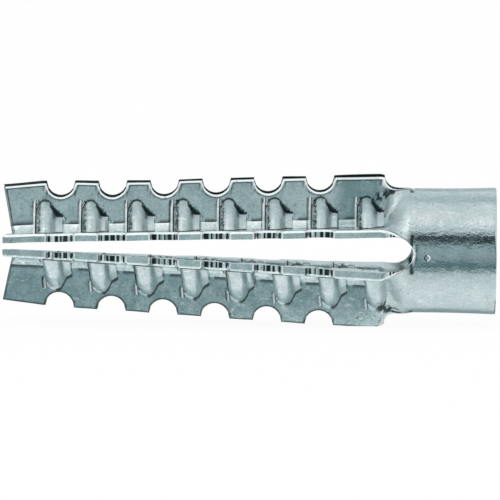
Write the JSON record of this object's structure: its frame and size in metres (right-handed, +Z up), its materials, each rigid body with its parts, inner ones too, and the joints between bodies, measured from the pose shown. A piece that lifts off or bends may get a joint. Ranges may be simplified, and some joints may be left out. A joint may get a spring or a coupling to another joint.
{
  "type": "metal wall anchor",
  "caption": "Slit wall anchor folded from one zinc-plated steel sheet: a round tube at the mouth, tapering toothed legs behind it and pressed thread beads.",
  "frame": {"origin": "centre of the tube's mouth, where the screw goes in", "axes": "+X along the anchor's axis and out of the tube's mouth, tip at -X; +Z up, through the upper pair of wings; the first leg lies between -Y and +Z"},
  "size_m": [0.038, 0.0116, 0.0116],
  "materials": {
    "zinc_plate": "bright zinc plate on pressed steel, slightly mottled and scuffed"
  },
  "bodies": {
    "root": {"anchor_body": "zinc_plate"}
  },
  "joints": []
}
